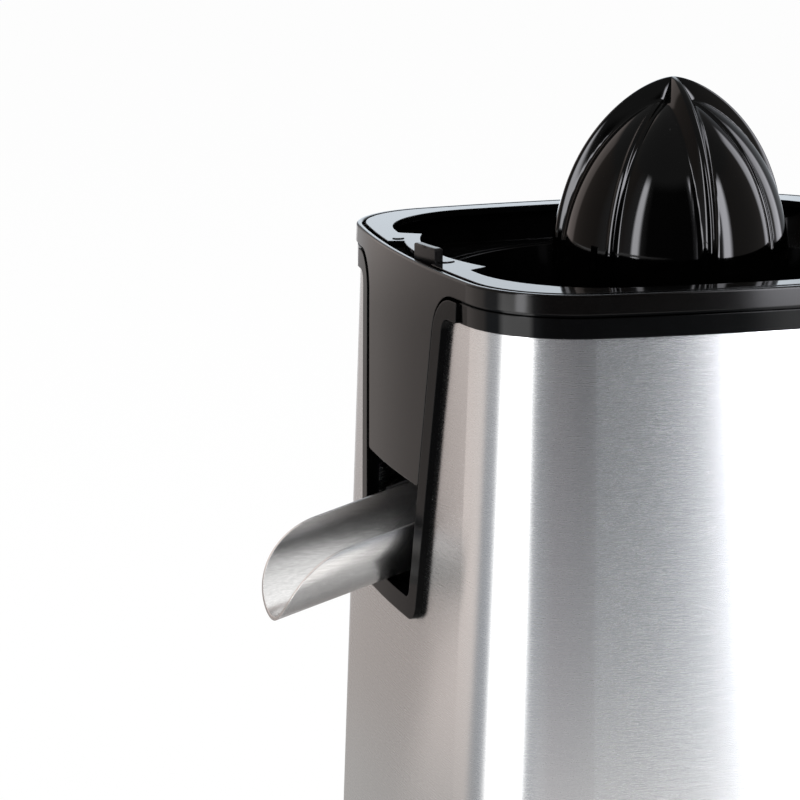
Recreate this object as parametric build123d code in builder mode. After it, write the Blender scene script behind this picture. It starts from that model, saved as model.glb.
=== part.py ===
"""Electric citrus juicer with a brushed steel body, lift-out bowl and tilting spout.

Millimetres. +Z is up, the origin is on the table under the reamer's axis,
and the spout points along -Y. Lengths called drop are measured down from the rim.
"""

import os
from math import cos, degrees, pi, radians, sin, sqrt, tan

from build123d import *

# Body
rim_height = 240.0
collar_half = 82.0
corner_radius = 31.0
side_bulge = 410.0
body_flare = 0.037
steel_inset = 1.2
steel_wall = 0.8
sleeve_bottom = 12.0
cord_hole_height = 28.0
cord_hole_radius = 6.0

# Bands round the top
collar_band = 5.2
collar_wall = 1.7
collar_round = 0.6
shadow_gap = 1.0
trim_band = 5.4
trim_inset = 0.3
trim_wall = 2.8
trim_tongue = 8.0

# Spout slot in the front, its frame and the apron that hangs in it
slot_half_rim = 34.0
slot_taper = 0.138
frame_width = 5.8
frame_proud = 2.0
frame_corner = 5.0
frame_top_radius = 11.5
shoulder_half = 47.0
shoulder_radius = 4.0
apron_drop = 61.5
apron_side_gap = 1.6
apron_corner = 1.2
apron_root_radius = 13.0

# Spout
pivot_inset = 18.0
pivot_drop = 70.0
spout_slope = 16.2
trough_radius = 18.0
trough_wall = 1.0
trough_rim = 6.9
trough_start = 20.0
trough_straight = 57.9
trough_tip = 81.2
scoop_bulge = 4.7
sill_gap = 0.6
saddle_wall = 1.9
saddle_back = -5.0
saddle_front = 34.0
saddle_end_wall = 2.0
pin_radius = 2.5
lug_wall = 2.8
lug_half = 5.0
lug_gap = 0.4
seal_radius = 8.5
seal_thickness = 2.5
seal_lift_gap = 0.4
seal_stem_radius = 4.0

# Bowl
bowl_side_gap = 0.6
bowl_wall = 1.8
lip_thickness = 2.0
lip_groove = 1.1
lip_width = 6.2
lip_corner = 36.0
seat_rib_inset = 1.2
shelf_overhang = 1.6
shelf_root_half = 35.3
shelf_tip_half = 29.5
shelf_root_radius = 2.4
tray_depth = 11.3
cup_inset = 11.6
well_inset = 7.4
well_step_drop = 32.5
floor_drop_inner = 54.0
floor_drop_outer = 59.0
column_radius = 12.2
column_wall = 2.0
column_drop = 37.0
drain_reach = 11.4
drain_radius = 6.4
drain_wall = 1.5
drain_drop = 66.0
strainer_seat_drop = 17.1
strainer_seat_width = 1.8

# Pulp control
bay_half_angle = 18.5
bay_inset = 3.3
bay_wall = 1.3
tab_slot_inset = 5.4
tab_slot_low = -14.4
tab_slot_high = 15.0
tab_angle = 10.2
tab_width = 12.2
tab_thickness = 2.6
tab_height = 4.0
arm_thickness = 1.4
arm_width = 6.0
pulp_plate = 1.6
pulp_hub_radius = 24.0
pulp_hoop_width = 5.0
pulp_hoop_height = 2.8

# Strainer
strainer_gap = 0.4
strainer_rim_width = 2.6
strainer_floor = 1.8
strainer_hub_radius = 13.05
strainer_hub_wall = 2.5
strainer_hub_top_drop = 18.0
strainer_inner_drop = 24.0
strainer_outer_drop = 27.0
basket_inset = 4.0
slot_count = 36
slot_width = 1.8
slot_inner_radius = 26.0
slot_margin = 3.0

# Reamer cone
cone_radius = 34.9
cone_rise = 46.7
cone_waist_drop = 4.0
cone_foot_drop = 16.0
rib_count = 8
rib_turn = -3.0
flute_depth = 2.7
flute_radius = 60.0
flute_keel_radius = 59.2
flute_low_angle = -9.0
flute_high_angle = 56.0
waist_pull = 0.67
tip_pull = 0.31
tip_dip = 0.6
facet_share = 0.575
facet_radius = 50.0
cone_wall = 3.0
cone_tube_wall = 2.3

# Cone drive
hub_radius = 9.0
hub_flange_radius = 14.0
hub_flange_thickness = 3.0
hub_flange_drop = 11.0
hub_bottom_drop = 32.0
hub_top_rise = 14.0
press_travel = 3.0
shaft_radius = 5.0
hex_flats = 8.4
shaft_top_drop = 5.0
shaft_round_drop = 40.0

# Chassis and base
deck_clearance = 18.0
deck_thickness = 3.0
tower_radius = 9.4
tower_drop = 44.0
bush_wall = 2.0
bush_length = 12.0
shaft_seal_height = 3.0
leg_radius = 5.0
leg_inset = 22.0
foot_height = 4.0
foot_radius = 9.0
foot_inset = 24.0
plate_thickness = 3.0
vent_count = 10
vent_reach = 16.0
vent_length = 13.0
vent_width = 3.6
skirt_proud = 0.6
skirt_wall = 2.0
skirt_tongue = 8.0
gland_flange = 8.5
gland_lip = 2.0

# Motor and gears
gear_module = 1.0
pinion_teeth = 12
idler_big_teeth = 54
idler_small_teeth = 13
output_teeth = 57
addendum = 0.85
dedendum = 1.15
flank_angle = 20.0
backlash = 0.3
gear_face = 10.0
idler_face = 8.0
gear_clearance = 1.5
gearbox_wall = 2.5
gearbox_inner_height = 26.0
can_radius = 26.0
can_wall = 1.5
motor_stand = 12.0
rotor_radius = 21.0
rotor_end_gap = 8.0
rotor_slots = 9
rotor_slot_depth = 8.4
rotor_slot_width = 3.6
rotor_shaft_radius = 2.5
coil_thickness = 2.6
coil_arc = 140.0
fan_radius = 22.0
fan_height = 7.0
fan_blades = 9
fan_gap = 1.6
axle_radius = 3.0
spring_wire = 0.9
spring_radius = 4.4
spring_height = 12.0
shaft_pin_radius = 2.0
shaft_pin_reach = 2.0
switch_length = 20.0
switch_width = 8.0
switch_height = 10.0
switch_hang = 8.0
switch_post_radius = 1.8
plunger_grip = 4.0

# Fits
seat_gap = 0.1
run_gap = 0.08
move_gap = 0.4
press_gap = 0.02

os.makedirs("parts", exist_ok=True)


def save(builder, label):
    """Name a finished piece and write it."""
    builder.part.label = label
    export_step(builder.part, f"parts/{label}.step")


# Heights and reaches worked out from the sizes above
trim_top = rim_height - collar_band - shadow_gap
sleeve_top = trim_top - trim_band
trim_inner = collar_half - trim_inset - trim_wall
bowl_half = trim_inner - bowl_side_gap
lip_outer_half = collar_half - collar_wall - lip_groove
lip_half = lip_outer_half - lip_width
cup_radius = collar_half - cup_inset
well_radius = cup_radius - well_inset
shelf_radius = cup_radius + shelf_overhang
bay_radius = collar_half - bay_inset
tab_slot_inner = collar_half - tab_slot_inset
strainer_radius = cup_radius - strainer_gap
strainer_basket_radius = strainer_radius - basket_inset
slot_outer_radius = well_radius - slot_margin
foot_reach = collar_half - foot_inset
leg_reach = collar_half - leg_inset
pivot_y = pivot_inset - well_radius
cone_waist = rim_height - cone_waist_drop
cone_height = cone_rise + cone_waist_drop
cone_foot = rim_height - cone_foot_drop


def body_half(height):
    """Half the steel body's width at a height: it widens downwards."""
    return collar_half - steel_inset + body_flare * (sleeve_top - height)


def front_half(height):
    """Distance from the axis to the face that the collar and apron share."""
    return collar_half + body_flare * (rim_height - height)


def frame_inner_half(height):
    """Distance from the axis to the slot frame's back, level with the trim band's inside."""
    return trim_inner + body_flare * (trim_top - height)


def slot_half(height):
    """Half the slot's width at a height: it narrows downwards."""
    return slot_half_rim - slot_taper * (rim_height - height)


def bulged_square(half, corner=None, mode=Mode.ADD):
    """Square with arc sides and arc corners, on the current sketch.

    Without a corner of its own it is the collar's outline, offset to the half width.
    """
    corner = corner_radius + half - collar_half if corner is None else corner
    bulge = side_bulge + half - collar_half
    reach = bulge - half
    centre = (sqrt(2 * (bulge - corner) ** 2 - reach**2) - reach) / 2
    scale = bulge / (bulge - corner)
    along = (centre + reach) * scale - reach
    across = centre * scale
    diagonal = centre + corner / sqrt(2)
    with BuildLine() as edge:
        for turn in range(4):
            side = [(along, -across), (half, 0), (along, across), (diagonal, diagonal), (across, along)]
            side = [Vector(x, y).rotate(Axis.Z, 90 * turn) for x, y in side]
            ThreePointArc(*side[:3])
            ThreePointArc(*side[2:])
    make_face(edge.edges(), mode=mode)


def ring_block(low, high, outer, inner):
    """Upright ring of the body's outline, in the current part."""
    with BuildSketch(Plane.XY.offset(low)) as section:
        bulged_square(outer)
        bulged_square(inner, mode=Mode.SUBTRACT)
    extrude(section.sketch, amount=high - low)


def straight_block(low, high, half, mode=Mode.ADD):
    """Upright block of the body's outline, in the current part."""
    with BuildSketch(Plane.XY.offset(low)) as section:
        bulged_square(half)
    extrude(section.sketch, amount=high - low, mode=mode)


def flared_block(low, high, width, mode=Mode.ADD):
    """Block that widens downwards, in the current part; width gives its half width at a height."""
    with BuildSketch(Plane.XY.offset(low)) as lower:
        bulged_square(width(low))
    with BuildSketch(Plane.XY.offset(high)) as upper:
        bulged_square(width(high))
    loft([lower.sketch, upper.sketch], ruled=True, mode=mode)


def slot_block(bottom, grow, corner, mode, shoulder=0.0):
    """Upright slot shape through the front half of the current part.

    With a shoulder it widens to that half width above the sleeve's top edge.
    """
    narrow = [(slot_half(bottom) + grow, bottom), (slot_half(rim_height) + grow, rim_height)]
    if shoulder:
        narrow[1] = (slot_half(sleeve_top) + grow, sleeve_top)
        narrow += [(shoulder, sleeve_top), (shoulder, rim_height)]
    with BuildSketch(Plane.XZ) as shape:
        with BuildLine() as edge:
            Polyline(*narrow, *[(-across, height) for across, height in reversed(narrow)], close=True)
        make_face(edge.edges())
        fillet(shape.vertices().group_by(Axis.Y)[0], corner)
        if shoulder:
            fillet(shape.vertices().group_by(Axis.Y)[-2].sort_by(lambda v: abs(v.X))[:2], shoulder_radius)
    extrude(shape.sketch, amount=2 * collar_half, mode=mode)


def tube(low, high, outer, inner=0.0):
    """Upright tube or rod on the axis, in the current part."""
    with BuildSketch(Plane.XY.offset(low)) as section:
        Circle(outer)
        if inner:
            Circle(inner, mode=Mode.SUBTRACT)
    extrude(section.sketch, amount=high - low)


def sector(radius, half_angle, middle=0.0):
    """Pie slice about the front direction, on the current sketch."""
    start = -90 + middle - half_angle
    with BuildLine() as edge:
        arc = CenterArc((0, 0), radius, start, 2 * half_angle)
        Line((0, 0), arc @ 0)
        Line(arc @ 1, (0, 0))
    make_face(edge.edges())


# Spout frame of reference: along the trough outwards, and up square to it
slope = radians(spout_slope)
pivot = Vector(0, pivot_y, rim_height - pivot_drop)
outward = Vector(0, -cos(slope), -sin(slope))
upward = Vector(0, -sin(slope), cos(slope))
spout_side = Plane(origin=pivot, x_dir=outward, z_dir=(-1, 0, 0))
spout_section = Plane(origin=pivot, x_dir=(1, 0, 0), z_dir=outward)
spout_top = Plane(origin=pivot, x_dir=(1, 0, 0), z_dir=upward)

# The slot's sill lies just under the lowered trough, at the frame's front face
frame_front = body_half(rim_height - pivot_drop) + frame_proud
trough_keel = trough_rim - trough_radius
sill_run = (frame_front + frame_proud + pivot_y - trough_keel * sin(slope)) / cos(slope)
slot_sill = pivot.Z - sill_run * sin(slope) + trough_keel * cos(slope) - sill_gap

# Steel sleeve, open at the top of its slot
with BuildPart() as steel_sleeve:
    flared_block(sleeve_bottom, sleeve_top, body_half)
    flared_block(sleeve_bottom, sleeve_top, lambda z: body_half(z) - steel_wall, Mode.SUBTRACT)
    slot_block(slot_sill - frame_width, frame_width, frame_corner, Mode.SUBTRACT, shoulder_half)
    with BuildSketch(Plane.XZ.offset(-body_half(0))):
        with Locations((0, cord_hole_height)):
            Circle(cord_hole_radius)
    extrude(amount=gland_flange, both=True, mode=Mode.SUBTRACT)
save(steel_sleeve, "steel_sleeve")

# Slot frame: a bezel that lines the slot, stands proud of the steel and turns into the trim band
with BuildPart() as slot_frame:
    flared_block(slot_sill - frame_width, trim_top, lambda z: body_half(z) + frame_proud)
    flared_block(slot_sill - frame_width, trim_top, frame_inner_half, Mode.SUBTRACT)
    slot_block(slot_sill - frame_width, frame_width, frame_corner, Mode.INTERSECT, shoulder_half)
    slot_block(slot_sill, 0, frame_corner / 2, Mode.SUBTRACT)
    frame_tops = slot_frame.faces().filter_by(Axis.Z).group_by(Axis.Z)[-1]
    inner_tops = frame_tops.edges().sort_by(lambda e: abs(e.center().X))[:2]
    fillet(inner_tops, frame_top_radius)
save(slot_frame, "slot_frame")

# Trim band on the sleeve's top edge, with a tongue inside the sleeve
with BuildPart() as top_trim_band:
    straight_block(sleeve_top, trim_top, collar_half - trim_inset)
    flared_block(sleeve_top - trim_tongue, sleeve_top, lambda z: body_half(z) - steel_wall - press_gap)
    straight_block(sleeve_top - trim_tongue, trim_top, trim_inner, Mode.SUBTRACT)
    slot_block(slot_sill, frame_width, frame_corner, Mode.SUBTRACT, shoulder_half)
save(top_trim_band, "top_trim_band")

# Base skirt under the sleeve, with a tongue inside it
with BuildPart() as base_skirt:
    straight_block(foot_height, sleeve_bottom, body_half(sleeve_bottom) + skirt_proud)
    fillet(base_skirt.edges().group_by(Axis.Z)[0], skirt_wall)
    flared_block(
        sleeve_bottom,
        sleeve_bottom + skirt_tongue,
        lambda z: body_half(z) - steel_wall - press_gap,
    )
    flared_block(
        foot_height,
        sleeve_bottom + skirt_tongue,
        lambda z: body_half(z) - steel_wall - skirt_wall,
        Mode.SUBTRACT,
    )
save(base_skirt, "base_skirt")

# Base plate with cooling slots under the motor
shaft_to_idler = gear_module * (idler_small_teeth + output_teeth) / 2
idler_to_motor = gear_module * (pinion_teeth + idler_big_teeth) / 2
idler_spot = (shaft_to_idler, 0)
motor_spot = (shaft_to_idler, idler_to_motor)
plate_top = foot_height + plate_thickness
with BuildPart() as base_plate:
    straight_block(foot_height, plate_top, body_half(sleeve_bottom) - steel_wall - skirt_wall - seat_gap)
    with BuildSketch(Plane.XY.offset(foot_height)):
        with Locations(motor_spot):
            with PolarLocations(vent_reach, vent_count):
                SlotOverall(vent_length, vent_width)
    extrude(amount=plate_thickness, mode=Mode.SUBTRACT)
save(base_plate, "base_plate")

# Rubber feet
for number, spot in enumerate(GridLocations(2 * foot_reach, 2 * foot_reach, 2, 2), 1):
    with BuildPart() as rubber_foot:
        with Locations(spot):
            Cylinder(foot_radius, foot_height, align=(Align.CENTER, Align.CENTER, Align.MIN))
        chamfer(rubber_foot.edges().group_by(Axis.Z)[0], foot_height / 5)
    save(rubber_foot, f"rubber_foot_{number}")

# Cord inlet: a grommet through the back of the sleeve
gland_face = body_half(cord_hole_height) + body_flare * gland_flange
with BuildPart() as cord_gland:
    with BuildSketch(Plane.XZ.offset(-gland_face)):
        with Locations((0, cord_hole_height)):
            Circle(cord_hole_radius - press_gap)
    extrude(amount=steel_wall + gland_lip * 2)
    with BuildSketch(Plane.XZ.offset(-gland_face)):
        with Locations((0, cord_hole_height)):
            Circle(gland_flange)
    extrude(amount=-gland_lip)
    with BuildSketch(Plane.XZ.offset(-gland_face)):
        with Locations((0, cord_hole_height)):
            Circle(cord_hole_radius / 2)
    extrude(amount=gland_flange, both=True, mode=Mode.SUBTRACT)
save(cord_gland, "cord_gland")

# Inner chassis: deck on three legs clear of the motor, with the shaft's tower
deck_top = slot_sill - frame_width - deck_clearance
deck_height = deck_top - deck_thickness
gear_floor = deck_height - gearbox_wall * 2 - gearbox_inner_height
tower_top = rim_height - tower_drop
with BuildPart() as inner_chassis:
    straight_block(deck_height, deck_top, body_half(deck_top) - steel_wall - seat_gap)
    tube(deck_height, tower_top, tower_radius)
    with BuildSketch(Plane.XY.offset(plate_top)):
        with Locations((-leg_reach, -leg_reach), (-leg_reach, leg_reach), (leg_reach, -leg_reach)):
            Circle(leg_radius)
    extrude(amount=deck_height - plate_top)
    with BuildSketch(Plane.XY.offset(deck_height)):
        Circle(shaft_radius + bush_wall)
    extrude(amount=tower_top - deck_height, mode=Mode.SUBTRACT)
save(inner_chassis, "inner_chassis")

# Bushes that carry the drive shaft in the tower, and the seal on its top
bush_outer = shaft_radius + bush_wall - press_gap
bush_inner = shaft_radius + run_gap
with BuildPart() as lower_bush:
    tube(deck_height, deck_height + bush_length, bush_outer, bush_inner)
save(lower_bush, "lower_bush")
with BuildPart() as upper_bush:
    tube(tower_top - bush_length, tower_top, bush_outer, bush_inner)
save(upper_bush, "upper_bush")
with BuildPart() as shaft_seal:
    tube(tower_top, tower_top + shaft_seal_height, tower_radius, bush_inner)
    chamfer(shaft_seal.edges().group_by(Axis.Z)[-1].sort_by(SortBy.LENGTH)[-1], shaft_seal_height / 3)
save(shaft_seal, "shaft_seal")


def gear_sketch(teeth, turn):
    """Gear outline with straight flanks on the current sketch, one tooth pointing at the turn angle."""
    pitch_radius = gear_module * teeth / 2
    half_pitch = pi * gear_module / 4 - backlash / 4
    rise = addendum * gear_module
    sink = dedendum * gear_module
    lean = tan(radians(flank_angle))
    flank = [(-sink, half_pitch + sink * lean), (rise, half_pitch - rise * lean)]
    points = []
    for tooth in range(teeth):
        middle = radians(turn) + 2 * pi * tooth / teeth
        right = [(pitch_radius + step, middle - width / pitch_radius) for step, width in flank]
        left = [(pitch_radius + step, middle + width / pitch_radius) for step, width in reversed(flank)]
        points += [(radius * cos(angle), radius * sin(angle)) for radius, angle in right + left]
    with BuildLine() as edge:
        Polyline(*points, close=True)
    make_face(edge.edges())


def hexagon(flats, mode=Mode.ADD):
    """Hexagon across flats on the current sketch."""
    RegularPolygon(flats / 2, 6, major_radius=False, mode=mode)


# Gearbox: the case hangs under its cover, and the cover under the deck
gear_low = gear_floor + gearbox_wall
cover_bottom = deck_height - gearbox_wall
output_low = cover_bottom - gear_face - press_travel - move_gap
idler_low = output_low - idler_face - 2 * move_gap
output_reach = gear_module * (output_teeth / 2 + addendum) + gear_clearance
idler_reach = gear_module * (idler_big_teeth / 2 + addendum) + gear_clearance
pinion_reach = gear_module * (pinion_teeth / 2 + addendum) + gear_clearance


def gearbox_sketch(grow):
    """Rounded outline round the three gears, on the current sketch."""
    Circle(output_reach + grow)
    with Locations(idler_spot):
        Circle(idler_reach + grow)
    with Locations(motor_spot):
        Circle(pinion_reach + grow)
    make_hull()


with BuildPart() as gearbox_case:
    with BuildSketch(Plane.XY.offset(gear_floor)):
        gearbox_sketch(gearbox_wall)
    extrude(amount=cover_bottom - gear_floor)
    with BuildSketch(Plane.XY.offset(gear_low)):
        gearbox_sketch(0)
    extrude(amount=cover_bottom - gear_low, mode=Mode.SUBTRACT)
    with BuildSketch(Plane.XY.offset(gear_floor)):
        Circle(shaft_pin_radius + run_gap)
        with Locations(motor_spot):
            Circle(rotor_shaft_radius + run_gap)
    extrude(amount=gearbox_wall, mode=Mode.SUBTRACT)
    with BuildSketch(Plane.XY.offset(gear_floor - switch_hang)):
        with GridLocations(switch_length - 3 * switch_post_radius, 0, 2, 1):
            Circle(switch_post_radius)
    extrude(amount=switch_hang)
save(gearbox_case, "gearbox_case")

with BuildPart() as gearbox_cover:
    with BuildSketch(Plane.XY.offset(cover_bottom)):
        gearbox_sketch(gearbox_wall)
        Circle(shaft_radius + move_gap, mode=Mode.SUBTRACT)
    extrude(amount=gearbox_wall)
save(gearbox_cover, "gearbox_cover")

with BuildPart() as idler_axle:
    with BuildSketch(Plane.XY.offset(gear_low)):
        with Locations(idler_spot):
            Circle(axle_radius)
    extrude(amount=cover_bottom - gear_low)
save(idler_axle, "idler_axle")

# Output gear, driven on its rim and keyed to the shaft by a hexagon
output_turn = 180 / output_teeth
with BuildPart() as output_gear:
    with BuildSketch(Plane.XY.offset(output_low)):
        gear_sketch(output_teeth, output_turn)
        hexagon(hex_flats + 2 * run_gap, Mode.SUBTRACT)
    extrude(amount=gear_face)
save(output_gear, "output_gear")

# Idler: a wide wheel and a small gear in one piece, turning on its axle
idler_top = output_low + gear_face + move_gap
with BuildPart() as idler_gear:
    with BuildSketch(Plane((*idler_spot, idler_low))):
        gear_sketch(idler_big_teeth, 90 + 180 / idler_big_teeth)
    extrude(amount=idler_face)
    with BuildSketch(Plane((*idler_spot, idler_low + idler_face))):
        gear_sketch(idler_small_teeth, 180)
    extrude(amount=idler_top - idler_low - idler_face)
    with BuildSketch(Plane((*idler_spot, idler_low))):
        Circle(axle_radius + run_gap)
    extrude(amount=idler_top - idler_low, mode=Mode.SUBTRACT)
save(idler_gear, "idler_gear")

# Motor: can, two field magnets, slotted rotor on its shaft, pinion and fan
fan_top = plate_top + motor_stand + fan_height
can_bottom = fan_top + fan_gap
can_length = gear_floor - can_bottom
rotor_low = can_bottom + rotor_end_gap
rotor_length = can_length - 2 * rotor_end_gap
with BuildPart() as motor_can:
    with BuildSketch(Plane((*motor_spot, can_bottom))):
        Circle(can_radius)
    extrude(amount=can_length)
    with BuildSketch(Plane((*motor_spot, can_bottom + can_wall))):
        Circle(can_radius - can_wall)
    extrude(amount=can_length - can_wall, mode=Mode.SUBTRACT)
    with BuildSketch(Plane((*motor_spot, can_bottom))):
        Circle(rotor_shaft_radius + run_gap)
    extrude(amount=can_wall, mode=Mode.SUBTRACT)
save(motor_can, "motor_can")

magnet_outer = can_radius - can_wall - press_gap
for number, middle in enumerate((0, 180), 1):
    with BuildPart() as field_magnet:
        with BuildSketch(Plane((*motor_spot, rotor_low))):
            sector(magnet_outer, coil_arc / 2, middle)
            Circle(magnet_outer - coil_thickness, mode=Mode.SUBTRACT)
        extrude(amount=rotor_length)
    save(field_magnet, f"field_magnet_{number}")

with BuildPart() as rotor_core:
    with BuildSketch(Plane((*motor_spot, rotor_low))):
        Circle(rotor_radius)
        with PolarLocations(rotor_radius, rotor_slots):
            Rectangle(2 * rotor_slot_depth, rotor_slot_width, mode=Mode.SUBTRACT)
        Circle(rotor_shaft_radius, mode=Mode.SUBTRACT)
    extrude(amount=rotor_length)
save(rotor_core, "rotor_core")

pinion_top = idler_low + idler_face + move_gap
with BuildPart() as rotor_shaft:
    with BuildSketch(Plane((*motor_spot, fan_top - fan_height))):
        Circle(rotor_shaft_radius)
    extrude(amount=pinion_top - fan_top + fan_height)
save(rotor_shaft, "rotor_shaft")

with BuildPart() as motor_pinion:
    with BuildSketch(Plane((*motor_spot, idler_low))):
        gear_sketch(pinion_teeth, -90)
        Circle(rotor_shaft_radius, mode=Mode.SUBTRACT)
    extrude(amount=pinion_top - idler_low)
save(motor_pinion, "motor_pinion")

with BuildPart() as cooling_fan:
    with BuildSketch(Plane((*motor_spot, fan_top - fan_height))):
        Circle(rotor_shaft_radius * 2)
        with PolarLocations(fan_radius / 2, fan_blades):
            Rectangle(fan_radius, slot_width)
        Circle(rotor_shaft_radius, mode=Mode.SUBTRACT)
    extrude(amount=fan_height)
    with BuildSketch(Plane((*motor_spot, fan_top - slot_width))):
        Circle(fan_radius)
        Circle(rotor_shaft_radius, mode=Mode.SUBTRACT)
    extrude(amount=slot_width)
save(cooling_fan, "cooling_fan")

# Drive shaft: hexagon in the gear, round in the tower, hexagon in the cone's hub
shaft_top = rim_height - shaft_top_drop
shaft_bottom = gear_low + spring_height
hex_top = output_low + gear_face + press_travel + move_gap
round_top = rim_height - shaft_round_drop
with BuildPart() as drive_shaft:
    tube(gear_floor - shaft_pin_reach, shaft_bottom, shaft_pin_radius)
    with BuildSketch(Plane.XY.offset(shaft_bottom)):
        hexagon(hex_flats)
    extrude(amount=shaft_top - shaft_bottom)
    tube(hex_top, round_top, shaft_radius)
    chamfer(drive_shaft.faces().sort_by(Axis.Z)[-1].edges(), shaft_radius / 8)
save(drive_shaft, "drive_shaft")

# Return spring under the shaft, as the tube that its coil fills
with BuildPart() as return_spring:
    tube(
        gear_low,
        shaft_bottom,
        spring_radius + spring_wire / 2,
        spring_radius - spring_wire / 2,
    )
save(return_spring, "return_spring")

# Switch under the gearbox, with the plunger that the shaft's pin presses
switch_top = gear_floor - switch_hang
plunger_top = gear_floor - shaft_pin_reach - seat_gap
plunger_low = switch_top - plunger_grip
with BuildPart() as power_switch:
    with BuildSketch(Plane.XY.offset(switch_top)):
        Rectangle(switch_length, switch_width)
    extrude(amount=-switch_height)
    with BuildSketch(Plane.XY.offset(switch_top)):
        Circle(shaft_pin_radius + run_gap)
    extrude(amount=-(plunger_grip + press_travel + move_gap), mode=Mode.SUBTRACT)
save(power_switch, "power_switch")
with BuildPart() as switch_plunger:
    tube(plunger_low, plunger_top, shaft_pin_radius)
save(switch_plunger, "switch_plunger")

# Juice bowl: square tray with a lip, round cup, stepped well, column and drain
tray_floor = rim_height - tray_depth
tray_bottom = tray_floor - bowl_wall
lip_bottom = rim_height - lip_thickness
rib_top = rim_height - collar_band
well_step = rim_height - well_step_drop
strainer_seat = rim_height - strainer_seat_drop
floor_inner = rim_height - floor_drop_inner
floor_outer = rim_height - floor_drop_outer
bowl_bottom = floor_outer - bowl_wall
column_top = rim_height - column_drop
drain_low = rim_height - drain_drop
drain_y = pivot_y - drain_reach
saddle_radius = trough_radius + saddle_wall
lug_inner = saddle_radius + lug_gap
lug_low = pivot.Z - lug_half
shelf_tip_y = -sqrt(shelf_radius**2 - shelf_tip_half**2)

with BuildSketch() as shelf:
    with BuildLine():
        Polyline(
            (-shelf_root_half, -lip_half - bowl_wall),
            (-shelf_tip_half, shelf_tip_y),
            (shelf_tip_half, shelf_tip_y),
            (shelf_root_half, -lip_half - bowl_wall),
            close=True,
        )
    make_face()
    Circle(shelf_radius, mode=Mode.SUBTRACT)

with BuildPart() as juice_bowl:
    ring_block(trim_top + seat_gap, rib_top, collar_half - seat_rib_inset, bowl_half - bowl_wall)
    slot_block(tray_bottom, apron_root_radius, frame_corner, Mode.SUBTRACT)
    straight_block(tray_bottom, rim_height, bowl_half)
    straight_block(lip_bottom, rim_height, lip_outer_half)
    tube(well_step - bowl_wall, tray_bottom, cup_radius + bowl_wall)
    tube(bowl_bottom, well_step - bowl_wall, well_radius + bowl_wall)
    with BuildSketch(Plane.XY.offset(well_step - bowl_wall)):
        sector(bay_radius + bay_wall, bay_half_angle + degrees(bay_wall / bay_radius))
    extrude(amount=lip_bottom - well_step + bowl_wall)
    with BuildSketch(Plane.XY.offset(lug_low)):
        with Locations((0, pivot_y)):
            with GridLocations(2 * lug_inner + lug_wall, 0, 2, 1):
                Rectangle(lug_wall, 2 * lug_half)
    extrude(amount=floor_outer - lug_low)
    with BuildSketch(Plane.XY.offset(drain_low)):
        with Locations((0, drain_y)):
            Circle(drain_radius + drain_wall)
    extrude(amount=floor_outer - drain_low)
    # Inside of the tray and of the lip's opening
    straight_block(tray_floor, lip_bottom, bowl_half - bowl_wall, Mode.SUBTRACT)
    with BuildSketch(Plane.XY.offset(lip_bottom)) as opening:
        bulged_square(lip_half, lip_corner)
        add(shelf.sketch, mode=Mode.SUBTRACT)
        shelf_roots = opening.vertices().group_by(Axis.Y)[0]
        fillet(shelf_roots, shelf_root_radius)
    extrude(amount=lip_thickness, mode=Mode.SUBTRACT)
    # Inside of the cup and well, round the column
    with BuildSketch(Plane.XZ):
        with BuildLine():
            Polyline(
                (column_radius, floor_inner),
                (well_radius, floor_outer),
                (well_radius, well_step),
                (cup_radius, well_step),
                (cup_radius, strainer_seat - 2 * strainer_seat_width),
                (cup_radius - strainer_seat_width, strainer_seat - strainer_seat_width),
                (cup_radius - strainer_seat_width, strainer_seat),
                (cup_radius, strainer_seat),
                (cup_radius, tray_floor),
                (column_radius, tray_floor),
                close=True,
            )
        make_face()
    revolve(axis=Axis.Z, mode=Mode.SUBTRACT)
    with BuildSketch(Plane.XY.offset(column_top)):
        Circle(column_radius)
    extrude(amount=tray_floor - column_top, mode=Mode.SUBTRACT)
    with BuildSketch(Plane.XY.offset(bowl_bottom)):
        Circle(column_radius - column_wall)
    extrude(amount=column_top - bowl_bottom, mode=Mode.SUBTRACT)
    # Drain, pivot holes, pulp control bay and the tab's slot
    with BuildSketch(Plane.XY.offset(drain_low)):
        with Locations((0, drain_y)):
            Circle(drain_radius)
    extrude(amount=floor_inner - drain_low, mode=Mode.SUBTRACT)
    with BuildSketch(Plane.YZ):
        with Locations((pivot.Y, pivot.Z)):
            Circle(pin_radius + run_gap)
    extrude(amount=lug_inner + 2 * lug_wall, both=True, mode=Mode.SUBTRACT)
    with BuildSketch(Plane.XY.offset(well_step)):
        sector(bay_radius, bay_half_angle)
        Circle(well_radius, mode=Mode.SUBTRACT)
    extrude(amount=lip_bottom - well_step, mode=Mode.SUBTRACT)
    with BuildSketch(Plane.XY.offset(lip_bottom)):
        sector(2 * collar_half, (tab_slot_high - tab_slot_low) / 2, (tab_slot_high + tab_slot_low) / 2)
        Circle(tab_slot_inner, mode=Mode.SUBTRACT)
    extrude(amount=lip_thickness, mode=Mode.SUBTRACT)
save(juice_bowl, "juice_bowl")

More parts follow.
